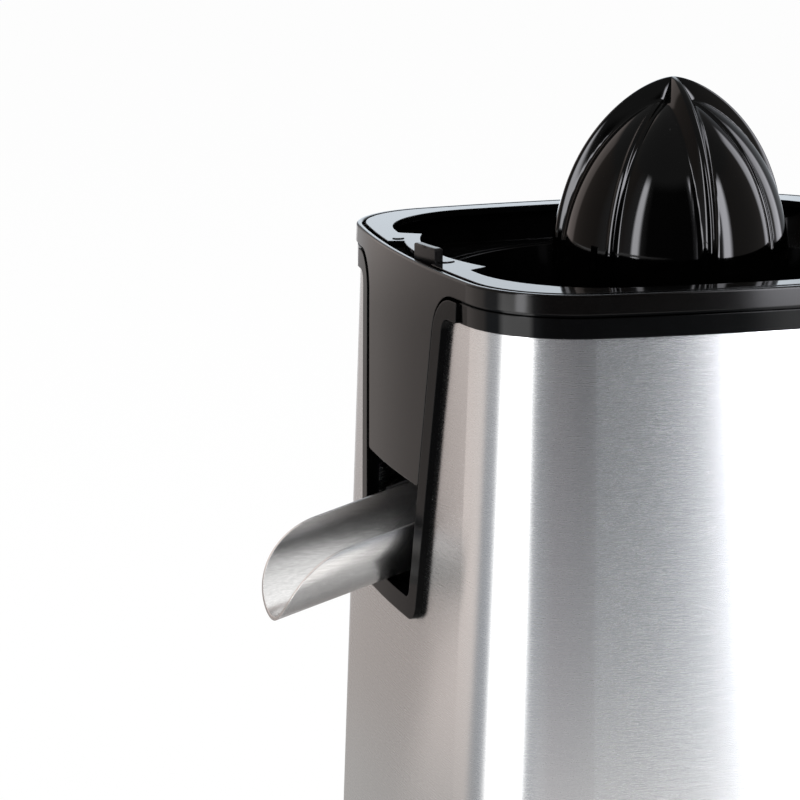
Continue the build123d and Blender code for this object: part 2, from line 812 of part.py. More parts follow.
# Collar round the bowl, with the apron that hangs down in the slot
apron_low = rim_height - apron_drop
apron_top_half = slot_half(rib_top) - apron_side_gap
apron_low_half = slot_half(apron_low) - apron_side_gap
with BuildPart() as bowl_collar:
    flared_block(apron_low, rim_height, front_half)
    flared_block(apron_low, rim_height, lambda z: front_half(z) - collar_wall, Mode.SUBTRACT)
    fillet(bowl_collar.edges().group_by(Axis.Z)[-1], collar_round)
    with BuildSketch(Plane.XZ) as round_apron:
        with Locations((0, rib_top)):
            Rectangle(4 * collar_half, 2 * apron_drop, align=(Align.CENTER, Align.MAX))
        with BuildLine():
            Polyline(
                (-apron_top_half, rib_top),
                (-apron_low_half, apron_low),
                (apron_low_half, apron_low),
                (apron_top_half, rib_top),
                close=True,
            )
        make_face(mode=Mode.SUBTRACT)
        fillet(round_apron.vertices().group_by(Axis.Y)[-1].sort_by(lambda v: abs(v.X))[:2], apron_root_radius)
        fillet(round_apron.vertices().filter_by(lambda v: abs(v.Y - apron_low) < seat_gap), apron_corner)
    extrude(amount=2 * collar_half, mode=Mode.SUBTRACT)
    with BuildSketch(Plane.XZ):
        with Locations((0, rib_top)):
            Rectangle(4 * collar_half, 2 * apron_drop, align=(Align.CENTER, Align.MAX))
    extrude(amount=-2 * collar_half, mode=Mode.SUBTRACT)
save(bowl_collar, "bowl_collar")

# Spout: steel half pipe with a scooped end, in a saddle that turns on a cross rod
scoop = Vector(trough_tip - trough_straight, trough_keel - trough_rim)
scoop_side = Vector(-scoop.Y, scoop.X).normalized() * scoop_bulge
scoop_middle = Vector(trough_straight, trough_rim) + scoop / 2 + scoop_side


def half_pipe(start, end, radius, mode=Mode.ADD):
    """Solid half round below the trough's rim line, in the current part."""
    with BuildSketch(spout_section.offset(start)) as section:
        with Locations((0, trough_rim)):
            Circle(radius)
            Rectangle(2 * radius, radius, align=(Align.CENTER, Align.MIN), mode=Mode.SUBTRACT)
    extrude(section.sketch, amount=end - start, mode=mode)


with BuildPart() as spout_trough:
    half_pipe(trough_start, trough_tip, trough_radius)
    half_pipe(trough_start, trough_tip, trough_radius - trough_wall, Mode.SUBTRACT)
    with BuildSketch(spout_side):
        with BuildLine():
            Line((trough_start, trough_rim), (trough_straight, trough_rim))
            ThreePointArc((trough_straight, trough_rim), scoop_middle, (trough_tip, trough_keel))
            Line((trough_tip, trough_keel), (trough_start, trough_keel))
            Line((trough_start, trough_keel), (trough_start, trough_rim))
        make_face()
    extrude(amount=trough_radius, both=True, mode=Mode.INTERSECT)
save(spout_trough, "spout_trough")

seal_top = drain_low - seal_lift_gap - pivot.Z
with BuildPart() as spout_block:
    half_pipe(saddle_back - saddle_end_wall, saddle_front, saddle_radius)
    half_pipe(saddle_back, trough_start, trough_radius - trough_wall, Mode.SUBTRACT)
    half_pipe(trough_start, saddle_front, trough_radius + press_gap, Mode.SUBTRACT)
    with BuildSketch(spout_top.offset(trough_keel + trough_wall)):
        with Locations((0, -drain_reach)):
            Circle(seal_stem_radius)
    extrude(amount=seal_top - seal_thickness - trough_keel - trough_wall)
    with BuildSketch(Plane.YZ):
        with Locations((pivot.Y, pivot.Z)):
            Circle(pin_radius)
    extrude(amount=lug_inner + lug_wall, both=True)
save(spout_block, "spout_block")

with BuildPart() as spout_seal:
    with BuildSketch(spout_top.offset(seal_top - seal_thickness)):
        with Locations((0, -drain_reach)):
            Circle(seal_radius)
    extrude(amount=seal_thickness)
    chamfer(spout_seal.edges(), seal_thickness / 6)
save(spout_seal, "spout_seal")

# Strainer basket with radial slots, and its hub round the cone's bush
strainer_top = tray_floor
hub_low = column_top + press_travel
hub_outer = strainer_hub_radius + strainer_hub_wall
strainer_inner = rim_height - strainer_inner_drop
strainer_outer = rim_height - strainer_outer_drop
strainer_slope = (strainer_inner - strainer_outer) / (strainer_basket_radius - hub_outer)


def radial_slots():
    """Ring of drain slots cut through the current part."""
    with BuildSketch(Plane.XY.offset(floor_outer)) as slots:
        with PolarLocations((slot_inner_radius + slot_outer_radius) / 2, slot_count):
            Rectangle(slot_outer_radius - slot_inner_radius, slot_width)
    extrude(slots.sketch, amount=floor_drop_outer, mode=Mode.SUBTRACT)


with BuildPart() as strainer:
    with BuildSketch(Plane.XZ):
        with BuildLine():
            Polyline(
                (strainer_hub_radius, hub_low),
                (hub_outer, hub_low),
                (hub_outer, strainer_inner - strainer_floor),
                (strainer_basket_radius + strainer_floor, strainer_outer - strainer_floor),
                (strainer_basket_radius + strainer_floor, strainer_seat + seat_gap),
                (strainer_radius, strainer_seat + seat_gap),
                (strainer_radius, strainer_top),
                (strainer_radius - strainer_rim_width, strainer_top),
                (strainer_basket_radius, strainer_outer),
                (hub_outer, strainer_inner),
                (hub_outer, rim_height - strainer_hub_top_drop),
                (strainer_hub_radius, rim_height - strainer_hub_top_drop),
                close=True,
            )
        make_face()
    revolve(axis=Axis.Z)
    radial_slots()
save(strainer, "strainer")

# Pulp control: slotted ring under the strainer, its arm up the bay, and the tab
hoop_low = well_step + seat_gap
hoop_top = hoop_low + pulp_hoop_height
arm_outer = tab_slot_inner + move_gap + arm_thickness
arm_top = lip_bottom + move_gap
arm_half_angle = degrees(arm_width / 2 / arm_outer)
tab_outer = collar_half - collar_wall - move_gap
tab_half_angle = degrees(tab_width / 2 / tab_outer)
pulp_hoop_radius = well_radius + pulp_hoop_width


def pulp_top(radius):
    """Height of the ring's top face, just under the strainer's floor."""
    return strainer_inner - strainer_slope * (radius - hub_outer) - strainer_floor - move_gap


with BuildPart() as pulp_ring:
    with BuildSketch(Plane.XZ):
        with BuildLine():
            Polyline(
                (pulp_hub_radius, pulp_top(pulp_hub_radius)),
                (well_radius, pulp_top(well_radius)),
                (well_radius, hoop_top),
                (pulp_hoop_radius, hoop_top),
                (pulp_hoop_radius, hoop_low),
                (well_radius, hoop_low),
                (well_radius - pulp_plate, pulp_top(well_radius) - pulp_plate),
                (pulp_hub_radius, pulp_top(pulp_hub_radius) - pulp_plate),
                close=True,
            )
        make_face()
    revolve(axis=Axis.Z)
    radial_slots()
    with BuildSketch(Plane.XY.offset(hoop_low)):
        sector(arm_outer, arm_half_angle, tab_angle)
        Circle(well_radius, mode=Mode.SUBTRACT)
    extrude(amount=pulp_hoop_height)
    with BuildSketch(Plane.XY.offset(hoop_low)):
        sector(arm_outer, arm_half_angle, tab_angle)
        Circle(arm_outer - arm_thickness, mode=Mode.SUBTRACT)
    extrude(amount=arm_top - hoop_low)
save(pulp_ring, "pulp_ring")

with BuildPart() as pulp_tab:
    with BuildSketch(Plane.XY.offset(arm_top)):
        sector(tab_outer, tab_half_angle, tab_angle)
        Circle(tab_outer - tab_thickness, mode=Mode.SUBTRACT)
    extrude(amount=rim_height + tab_height - arm_top)
    fillet(pulp_tab.edges().group_by(Axis.Z)[-1], tab_thickness / 5)
save(pulp_tab, "pulp_tab")

# Bush that turns in the strainer's hub, and the cone's hub that slides in it
with BuildPart() as cone_bush:
    tube(
        hub_low + seat_gap,
        rim_height - strainer_hub_top_drop,
        strainer_hub_radius - run_gap,
        hub_radius + run_gap,
    )
save(cone_bush, "cone_bush")

flange_top = rim_height - hub_flange_drop
with BuildPart() as cone_hub:
    tube(rim_height - hub_bottom_drop, rim_height + hub_top_rise, hub_radius)
    tube(flange_top - hub_flange_thickness, flange_top, hub_flange_radius)
    with BuildSketch(Plane.XY.offset(rim_height - hub_bottom_drop)):
        hexagon(hex_flats + 2 * run_gap)
    extrude(amount=shaft_top + seat_gap - rim_height + hub_bottom_drop, mode=Mode.SUBTRACT)
    chamfer(cone_hub.faces().sort_by(Axis.Z)[-1].edges(), hub_radius / 9)
save(cone_hub, "cone_hub")


def dome_curve(radius, height):
    """Control points of a pointed dome's side, from its waist to its tip."""
    return [
        Vector(radius, cone_waist),
        Vector(radius, cone_waist + height * waist_pull),
        Vector(radius * tip_pull, cone_waist + height - tip_dip),
        Vector(0, cone_waist + height),
    ]


def cone_profile(radius, height, foot):
    """Half outline of a dome, straight down from its waist to the foot."""
    with BuildLine() as edge:
        Bezier(*dome_curve(radius, height))
        Polyline((0, cone_waist + height), (0, foot), (radius, foot), (radius, cone_waist))
    make_face(edge.edges())


def dome_point(share):
    """Point on the cone's side at a share of its curve."""
    waist, lower, upper, tip = dome_curve(cone_radius, cone_height)
    rest = 1 - share
    return waist * rest**3 + (lower * rest + upper * share) * 3 * rest * share + tip * share**3


def flute(turn):
    """Hollow whose keel is an arc in the upright plane at the turn angle, cut in the current part."""
    upright = Plane.XZ.rotated((0, 0, turn))
    swing = flute_keel_radius + flute_radius
    centre = Vector(cone_radius - flute_depth - flute_keel_radius, cone_waist)
    middle_angle = (flute_low_angle + flute_high_angle) / 2
    points = []
    for angle in (flute_low_angle, middle_angle, flute_high_angle):
        points.append(centre + Vector(swing, 0).rotate(Axis.Z, angle))
    with BuildLine() as path:
        ThreePointArc(*[upright.from_local_coords(point) for point in points])
    with BuildSketch(Plane(origin=path.line @ 0, z_dir=path.line % 0)) as ball:
        Circle(flute_radius)
    sweep(ball.sketch, path.line, mode=Mode.SUBTRACT)


def tip_facet(turn):
    """Shallow hollow from the tip down the dome at the turn angle, cut in the current part."""
    upright = Plane.XZ.rotated((0, 0, turn))
    tip = dome_point(1)
    keel = dome_point(facet_share) - tip
    normal = Vector(-keel.Y, keel.X).normalized()
    start = upright.from_local_coords(tip - keel + normal * facet_radius)
    end = upright.from_local_coords(tip + keel * 2 + normal * facet_radius)
    with BuildSketch(Plane(origin=start, z_dir=end - start)) as ball:
        Circle(facet_radius)
    extrude(ball.sketch, amount=(end - start).length, mode=Mode.SUBTRACT)


# Reamer cone: pointed dome, a flute between each pair of ribs, and a facet that ends every second rib
rib_step = 360 / rib_count
with BuildPart() as reamer_cone:
    with BuildSketch(Plane.XZ):
        cone_profile(cone_radius, cone_height, cone_foot)
    revolve(axis=Axis.Z)
    for rib in range(rib_count):
        flute(rib_turn + rib_step * (rib + 0.5))
    for rib in range(1, rib_count, 2):
        tip_facet(rib_turn + rib_step * rib)
    with BuildSketch(Plane.XZ):
        cone_profile(
            cone_radius - flute_depth - cone_wall,
            cone_height - flute_depth - cone_wall,
            cone_foot,
        )
        with Locations((0, flange_top + seat_gap)):
            Rectangle(
                hub_radius + run_gap + cone_tube_wall,
                cone_height,
                align=(Align.MIN, Align.MIN),
                mode=Mode.SUBTRACT,
            )
    revolve(axis=Axis.Z, mode=Mode.SUBTRACT)
    with BuildSketch(Plane.XY.offset(flange_top)):
        Circle(hub_radius + run_gap)
    extrude(amount=hub_flange_drop + hub_top_rise + seat_gap, mode=Mode.SUBTRACT)
save(reamer_cone, "reamer_cone")
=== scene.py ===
from math import cos, pi, radians, sin

import bpy
from mathutils import Matrix, Vector


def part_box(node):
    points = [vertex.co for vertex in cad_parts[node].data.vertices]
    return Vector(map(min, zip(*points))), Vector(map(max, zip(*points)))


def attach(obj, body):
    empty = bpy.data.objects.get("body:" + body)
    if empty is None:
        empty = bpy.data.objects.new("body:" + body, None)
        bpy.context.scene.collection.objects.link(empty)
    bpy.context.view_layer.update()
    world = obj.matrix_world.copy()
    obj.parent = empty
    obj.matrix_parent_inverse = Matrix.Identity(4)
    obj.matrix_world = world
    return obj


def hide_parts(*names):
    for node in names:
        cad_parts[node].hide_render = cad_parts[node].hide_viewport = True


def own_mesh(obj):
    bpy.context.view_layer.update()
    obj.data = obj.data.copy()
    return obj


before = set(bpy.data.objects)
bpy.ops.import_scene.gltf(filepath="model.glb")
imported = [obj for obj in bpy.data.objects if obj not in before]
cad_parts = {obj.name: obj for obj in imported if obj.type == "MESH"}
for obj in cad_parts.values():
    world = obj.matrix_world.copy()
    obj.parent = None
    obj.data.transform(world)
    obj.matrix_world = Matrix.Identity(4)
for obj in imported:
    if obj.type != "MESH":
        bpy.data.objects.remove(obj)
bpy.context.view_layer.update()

# Rubber feet, cord grommet and seals: soft black rubber, moulded and pressed into the
# base plate, the sleeve's back and the drain. The grain is the mould's own fine texture.


class Wire:
    """One output of a tree's nodes, so that node maths can be written as plain sums."""

    def __init__(self, tree, socket=None):
        self.tree = tree
        self.socket = socket

    def node(self, kind, sockets=None, output=0, stops=None, **settings):
        """Add a node: its settings first, then its sockets' values or links. Gives one output."""
        made = self.tree.nodes.new(kind)
        for name, value in settings.items():
            setattr(made, name, value)
        if stops:
            ramp = made.color_ramp
            while len(ramp.elements) < len(stops):
                ramp.elements.new(1.0)
            for element, (place, colour) in zip(ramp.elements, stops):
                element.position = place
                element.color = (*colour, 1.0)
        for name, value in (sockets or {}).items():
            if isinstance(value, Wire):
                self.tree.links.new(value.socket, made.inputs[name])
            else:
                made.inputs[name].default_value = value
        return Wire(self.tree, made.outputs[output] if made.outputs else None)

    def math(self, operation, *others):
        """Function of this value, and of the others where it takes more than one."""
        return self.node("ShaderNodeMath", dict(enumerate([self, *others])), operation=operation)

    def __add__(self, other):
        return self.math("ADD", other)

    __radd__ = __add__

    def __sub__(self, other):
        return self.math("SUBTRACT", other)

    def __rsub__(self, other):
        return self.node("ShaderNodeMath", {0: other, 1: self}, operation="SUBTRACT")

    def __mul__(self, other):
        return self.math("MULTIPLY", other)

    __rmul__ = __mul__

    def __truediv__(self, other):
        return self.math("DIVIDE", other)

    def __pow__(self, other):
        return self.math("POWER", other)

    def axis(self, name):
        """One coordinate of a place."""
        return self.node("ShaderNodeSeparateXYZ", {"Vector": self}, output=name)

    def ramp(self, low, high, start=0.0, end=1.0, shape="LINEAR"):
        """Goes from start to end as this value goes from low to high, and stays there outside."""
        span = {"Value": self, "From Min": low, "From Max": high, "To Min": start, "To Max": end}
        return self.node("ShaderNodeMapRange", span, interpolation_type=shape)

    def between(self, low, high):
        """0 below low and 1 above high, smooth in between."""
        return self.ramp(low, high, shape="SMOOTHSTEP")

    def towards(self, first, second):
        """Number that goes from the first to the second as this value goes from 0 to 1."""
        return first + self * (second - first)

    def blend(self, first, second):
        """Colour that goes from the first to the second as this value goes from 0 to 1."""
        sockets = {0: self, 6: first, 7: second}
        return self.node("ShaderNodeMix", sockets, output=2, data_type="RGBA")


def open_finish(name):
    """Empty material and a wire to build its nodes with."""
    material = bpy.data.materials.new(name)
    material.use_nodes = True
    material.node_tree.nodes.clear()
    return material, Wire(material.node_tree)


def close_finish(wire, **sockets):
    """Principled surface with these sockets. An underscore in a name stands for a space."""
    named = {name.replace("_", " "): value for name, value in sockets.items()}
    surface = wire.node("ShaderNodeBsdfPrincipled", named)
    wire.node("ShaderNodeOutputMaterial", {"Surface": surface})


def speckle(wire, stretch, detail=2.0, rough=0.5):
    """Noise on the piece's own coordinates, with this many cells to the metre along each axis."""
    place = wire.node("ShaderNodeTexCoord", output="Object")
    spread = wire.node("ShaderNodeMapping", {"Vector": place, "Scale": stretch})
    return wire.node(
        "ShaderNodeTexNoise",
        {"Vector": spread, "Scale": 1.0, "Detail": detail, "Roughness": rough},
    )


def shaded(dark, light, main, other, share):
    """Colour from dark to light by two patterns, the other one with this share in it."""
    tone = (main * (1 - share) + other * share).between(0.3, 0.7)
    return tone.blend((*dark, 1), (*light, 1))


def uneven(roughness, pattern, spread):
    """Roughness that a pattern moves up and down round its middle, by this much in all."""
    return roughness + spread * (pattern - 0.5)


def bumped(wire, height, distance, edge=0.0004):
    """Normal from a height field of that depth in metres, over edges rounded by the edge radius."""
    sockets = {"Height": height, "Distance": distance}
    if edge:
        sockets["Normal"] = wire.node("ShaderNodeBevel", {"Radius": edge}, samples=4)
    return wire.node("ShaderNodeBump", sockets)


def dress(material, *nodes):
    """Give CAD nodes a material."""
    for name in nodes:
        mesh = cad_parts[name].data
        mesh.materials.clear()
        mesh.materials.append(material)


def moulded(name, dark, light, roughness, grain, depth):
    """Moulded plastic or rubber: a grain of that many cells to the metre, and handling marks."""
    material, wire = open_finish(name)
    texture = speckle(wire, (grain, grain, grain), detail=3.0, rough=0.6)
    smear = speckle(wire, (35, 35, 35), detail=4.0)
    close_finish(
        wire,
        Base_Color=shaded(dark, light, texture, smear, share=0.4),
        Roughness=uneven(roughness, smear, spread=0.12),
        Normal=bumped(wire, texture, depth),
    )
    return material


rubber = moulded(
    "black rubber",
    dark=(0.016, 0.016, 0.016),
    light=(0.034, 0.033, 0.033),
    roughness=0.72,
    grain=1400,
    depth=0.00006,
)
dress(rubber, "rubber_foot_1", "rubber_foot_2", "rubber_foot_3", "rubber_foot_4")
dress(rubber, "cord_gland", "shaft_seal", "spout_seal")

# Base skirt, plate and inner chassis: black moulded plastic with a spark-eroded texture.
# The plate is screwed up into the chassis legs, and the skirt's tongue grips the sleeve.
matte_black = moulded(
    "black moulded plastic",
    dark=(0.014, 0.014, 0.015),
    light=(0.03, 0.03, 0.031),
    roughness=0.5,
    grain=2400,
    depth=0.00004,
)
dress(matte_black, "base_skirt", "base_plate", "inner_chassis", "power_switch", "cooling_fan")
dress(matte_black, "spout_block", "pulp_ring", "cone_hub")

# Motor and gearbox: nylon gears and case, sintered bushes, pressed steel can and plain iron.
# All of it hangs under the chassis deck, out of sight.
nylon = moulded(
    "white nylon",
    dark=(0.66, 0.64, 0.58),
    light=(0.76, 0.75, 0.7),
    roughness=0.42,
    grain=900,
    depth=0.00003,
)
dress(nylon, "gearbox_case", "gearbox_cover", "output_gear", "idler_gear")
dress(nylon, "switch_plunger", "cone_bush")


def turned_metal(name, dark, light, roughness):
    """Machined metal: fine rings left by the tool across the axis."""
    material, wire = open_finish(name)
    rings = speckle(wire, (60, 60, 5000), detail=2.0)
    patch = speckle(wire, (90, 90, 90), detail=4.0)
    close_finish(
        wire,
        Base_Color=shaded(dark, light, rings, patch, share=0.5),
        Metallic=1.0,
        Roughness=uneven(roughness, patch, spread=0.16),
        Normal=bumped(wire, rings, 0.00002),
    )
    return material


turned_steel = turned_metal("turned steel", (0.46, 0.46, 0.47), (0.6, 0.6, 0.6), roughness=0.3)
dress(turned_steel, "idler_axle", "motor_can", "rotor_shaft", "drive_shaft")
bronze = turned_metal("sintered bronze", (0.42, 0.27, 0.11), (0.58, 0.4, 0.18), roughness=0.45)
dress(bronze, "lower_bush", "upper_bush", "motor_pinion")
iron = turned_metal("dark iron", (0.1, 0.095, 0.095), (0.17, 0.16, 0.155), roughness=0.55)
dress(iron, "field_magnet_1", "field_magnet_2", "rotor_core")

# Return spring: a coil of drawn steel wire round the shaft's pin, between the gearbox floor
# and the end of the hexagon. It lifts the cone again when the fruit is taken away.
scene = bpy.context.scene


def open_shape(name, **sizes):
    """Geometry Nodes tree with these named inputs, its wire, and a wire for each input."""
    tree = bpy.data.node_groups.new(name, "GeometryNodeTree")
    for label, value in sizes.items():
        kind = "NodeSocketInt" if isinstance(value, int) else "NodeSocketFloat"
        tree.interface.new_socket(label.replace("_", " "), in_out="INPUT", socket_type=kind)
    tree.interface.new_socket("Finish", in_out="INPUT", socket_type="NodeSocketMaterial")
    tree.interface.new_socket("Shape", in_out="OUTPUT", socket_type="NodeSocketGeometry")
    sockets = tree.nodes.new("NodeGroupInput").outputs
    return Wire(tree), {socket.name: Wire(tree, socket) for socket in sockets if socket.name}


def close_shape(wire, given, shape):
    """End a tree: loose copies made real, the finish set, and the shape handed out."""
    real = wire.node("GeometryNodeRealizeInstances", {"Geometry": shape})
    finish = {"Geometry": real, "Material": given["Finish"]}
    finished = wire.node("GeometryNodeSetMaterial", finish)
    wire.node("NodeGroupOutput", {"Shape": finished})


def grow(name, tree, material, **sizes):
    """Run a tree with these sizes and keep its result as a plain mesh object."""
    seed = bpy.data.objects.new(name + "_seed", bpy.data.meshes.new(name + "_seed"))
    scene.collection.objects.link(seed)
    modifier = seed.modifiers.new("shape", "NODES")
    modifier.node_group = tree
    values = {label.replace("_", " "): value for label, value in sizes.items()}
    values["Finish"] = material
    for socket in tree.interface.items_tree:
        if socket.in_out == "INPUT":
            modifier[socket.identifier] = values[socket.name]
    graph = bpy.context.evaluated_depsgraph_get()
    mesh = bpy.data.meshes.new_from_object(seed.evaluated_get(graph), depsgraph=graph)
    seed.modifiers.remove(modifier)
    bpy.data.objects.remove(seed)
    mesh.name = name
    piece = bpy.data.objects.new(name, mesh)
    scene.collection.objects.link(piece)
    return piece


def rod(wire, path, radius, sides, **place):
    """Round rod along a curve, then moved and turned into its place."""
    section = {"Resolution": sides, "Radius": radius}
    section = wire.node("GeometryNodeCurvePrimitiveCircle", section)
    swept = {"Curve": path, "Profile Curve": section, "Fill Caps": True}
    swept = wire.node("GeometryNodeCurveToMesh", swept)
    placed = wire.node("GeometryNodeTransform", {"Geometry": swept, **place})
    return wire.node("GeometryNodeSetShadeSmooth", {"Geometry": placed})


spring_low, spring_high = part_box("return_spring")
spring_length = spring_high[2] - spring_low[2]
spring_wire = 0.0009
spring_sizes = {
    "Bottom": spring_low[2] + spring_wire / 2,
    "Height": spring_length - spring_wire,
    "Coil_Radius": (spring_high[0] - spring_low[0] - spring_wire) / 2,
    "Wire_Radius": spring_wire / 2,
    "Turns": 5.5,
}
wire, given = open_shape("coil spring", **spring_sizes)
coil = wire.node(
    "GeometryNodeCurveSpiral",
    {
        "Resolution": 32,
        "Rotations": given["Turns"],
        "Start Radius": given["Coil Radius"],
        "End Radius": given["Coil Radius"],
        "Height": given["Height"],
    },
)
lift = wire.node("ShaderNodeCombineXYZ", {"Z": given["Bottom"]})
coil = rod(wire, coil, given["Wire Radius"], sides=10, Translation=lift)
close_shape(wire, given, coil)
spring_coil = grow("return_spring_coil", wire.tree, turned_steel, **spring_sizes)
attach(spring_coil, "base")
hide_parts("return_spring")
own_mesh(spring_coil)

# Steel sleeve: stainless sheet, brushed across and wrapped round the body. The brushing
# leaves level hairlines that stretch every reflection up and down.


def brushed(name, dark, light, roughness, stretch, broad, depth, **fixed):
    """Brushed sheet metal with hairlines of the given stretch, and broader streaks among them."""
    material, wire = open_finish(name)
    hairline = speckle(wire, stretch, detail=3.0, rough=0.65)
    streak = speckle(wire, broad, detail=2.0)
    close_finish(
        wire,
        Base_Color=shaded(dark, light, hairline, streak, share=0.3),
        Metallic=1.0,
        Roughness=uneven(uneven(roughness, hairline, spread=0.04), streak, spread=0.02),
        Normal=bumped(wire, hairline, depth),
        **fixed,
    )
    return material


sleeve_steel = brushed(
    "steel brushed across",
    dark=(0.59, 0.59, 0.59),
    light=(0.64, 0.64, 0.64),
    roughness=0.27,
    stretch=(420, 420, 8000),
    broad=(110, 110, 3200),
    depth=0.0000003,
    Anisotropic=0.85,
    Anisotropic_Rotation=0.25,
)
dress(sleeve_steel, "steel_sleeve")

# Slot frame and trim band: black plastic mouldings, the band polished and the frame a little
# duller. The frame lines the sleeve's front slot and turns into the band, which grips the
# sleeve's top edge with a tongue.


def polished_plastic(name, dark, light, roughness, shine, edge=0.0004):
    """Smooth moulded plastic with a faint waviness and handling marks that break up its gloss."""
    material, wire = open_finish(name)
    wave = speckle(wire, (45, 45, 45), detail=1.0)
    mark = speckle(wire, (260, 260, 260), detail=5.0, rough=0.6)
    close_finish(
        wire,
        Base_Color=shaded(dark, light, wave, mark, share=0.5),
        Roughness=uneven(roughness, mark, spread=0.04),
        Specular_IOR_Level=shine,
        Normal=bumped(wire, wave, 0.00001, edge),
    )
    return material


gloss_black = polished_plastic(
    "gloss black plastic",
    dark=(0.0008, 0.0008, 0.0008),
    light=(0.0016, 0.0016, 0.0017),
    roughness=0.06,
    shine=0.16,
)
dress(gloss_black, "top_trim_band")
frame_black = polished_plastic(
    "frame black plastic",
    dark=(0.001, 0.001, 0.001),
    light=(0.002, 0.002, 0.002),
    roughness=0.12,
    shine=0.07,
)
dress(frame_black, "slot_frame")

# Bowl, strainer and collar: gloss black mouldings that lift out for washing. The collar snaps
# round the bowl's rim, and its apron hangs down into the front slot over the spout.
dress(gloss_black, "juice_bowl", "strainer")
apron_black = polished_plastic(
    "brown black plastic",
    dark=(0.0016, 0.0013, 0.0012),
    light=(0.0026, 0.0022, 0.002),
    roughness=0.1,
    shine=0.2,
)
dress(apron_black, "bowl_collar")

# Pulp control: a grey tab on the ring under the strainer, and two curved signs moulded into the
# bowl's rim beside its slot, the larger one at the end where more pulp comes through.
tab_grey = polished_plastic(
    "dark grey plastic",
    dark=(0.002, 0.0019, 0.002),
    light=(0.004, 0.0037, 0.0039),
    roughness=0.28,
    shine=0.16,
)
dress(tab_grey, "pulp_tab")
sign_sizes = {
    "Sweep": 2.0,
    "Stroke": 0.0003,
    "Height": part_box("juice_bowl")[1][2],
    "Turn": -0.2,
}
more_pulp_place = {"Arc_Radius": 0.0036, "Across": 0.0166, "Along": -0.0741}
less_pulp_place = {"Arc_Radius": 0.0018, "Across": -0.0242, "Along": -0.0745}
wire, given = open_shape("curved sign", **sign_sizes, **more_pulp_place)
stroke = wire.node(
    "GeometryNodeCurveArc",
    {
        "Resolution": 20,
        "Radius": given["Arc Radius"],
        "Start Angle": given["Sweep"] * -0.5,
        "Sweep Angle": given["Sweep"],
    },
)
spot = {"X": given["Across"], "Y": given["Along"], "Z": given["Height"]}
spot = wire.node("ShaderNodeCombineXYZ", spot)
turn = wire.node("ShaderNodeCombineXYZ", {"Z": given["Turn"]})
stroke = rod(wire, stroke, given["Stroke"], sides=8, Translation=spot, Rotation=turn)
close_shape(wire, given, stroke)
for name, place in [("more_pulp_sign", more_pulp_place), ("less_pulp_sign", less_pulp_place)]:
    sign = grow(name, wire.tree, gloss_black, **sign_sizes, **place)
    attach(sign, "bowl")

# Spout: pressed stainless steel, satin finished along its length, held in its saddle.
# It tips up on the saddle's cross rod to stop the drip.
spout_steel = brushed(
    "satin spout steel",
    dark=(0.56, 0.555, 0.55),
    light=(0.68, 0.675, 0.67),
    roughness=0.24,
    stretch=(2600, 60, 2600),
    broad=(300, 12, 300),
    depth=0.000004,
)
dress(spout_steel, "spout_trough")

# Reamer cone: one gloss black moulding, hollow, with a socket that pushes on to the hub. Four
# long ribs run up a pointed dome to its tip, with a short rib between each two of them, and the
# lobes between the long ribs sink in towards the tip.
cone_low, cone_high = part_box("reamer_cone")
cone_sizes = {
    "Radius": cone_high[0] - 0.00005,
    "Foot": cone_low[2],
    "Waist": cone_low[2] + 0.012,
    "Tip": cone_high[2] - 0.00005,
    "Waist_Pull": 0.67,
    "Tip_Pull": 0.31,
    "Tip_Dip": 0.0006,
    "Rib_Turn": radians(-3.0),
    "Rib_Crest": 0.0006,
    "Foot_Depth": 0.0019,
    "Tip_Depth": 0.0064,
    "Lobe_Bulge": 0.0011,
    "Short_Rib": 0.0009,
    "Short_Shift": 0.09,
    "Wall": 0.0056,
    "Roof": 0.0135,
    "Socket_Radius": 0.01138,
    "Socket_Bore": 0.00908,
    "Socket_Foot": cone_low[2] + 0.0051,
    "Columns": 321,
    "Rows": 181,
}
rib_count = 8
pair_angle = 4 * pi / rib_count
crowding = 1.7
rib_soft = 0.0007
lobe_soft = 0.0008
short_rib_half, short_rib_foot = 0.0004, 0.0015
short_rib_end, short_rib_gone = 0.74, 0.84
skirt_row, foot_row, inner_row = 0.66, 0.8, 0.86
socket_columns = 49
socket_corners = 4
socket_gap = 0.0006
reamer_black = polished_plastic(
    "reamer black plastic",
    dark=(0.0003, 0.0003, 0.0003),
    light=(0.0007, 0.0007, 0.0007),
    roughness=0.05,
    shine=0.28,
    edge=0.0,
)
wire, given = open_shape("ribbed cone", **cone_sizes)


def sheet(columns, rows):
    """Flat grid to be bent into shape, and its two coordinates from 0 to 1."""
    made = wire.node("GeometryNodeMeshGrid", {"Vertices X": columns, "Vertices Y": rows})
    place = Wire(wire.tree, made.socket.node.outputs["UV Map"])
    return made, place.axis("X"), place.axis("Y")


def bend(flat, turn, reach, height):
    """Wrap a grid round the axis and close its seam and poles."""
    spot = {"X": reach * turn.math("COSINE"), "Y": reach * turn.math("SINE"), "Z": height}
    spot = wire.node("ShaderNodeCombineXYZ", spot)
    bent = wire.node("GeometryNodeSetPosition", {"Geometry": flat, "Position": spot})
    bent = wire.node("GeometryNodeMergeByDistance", {"Geometry": bent, "Distance": 0.000002})
    return wire.node("GeometryNodeSetShadeSmooth", {"Geometry": bent})


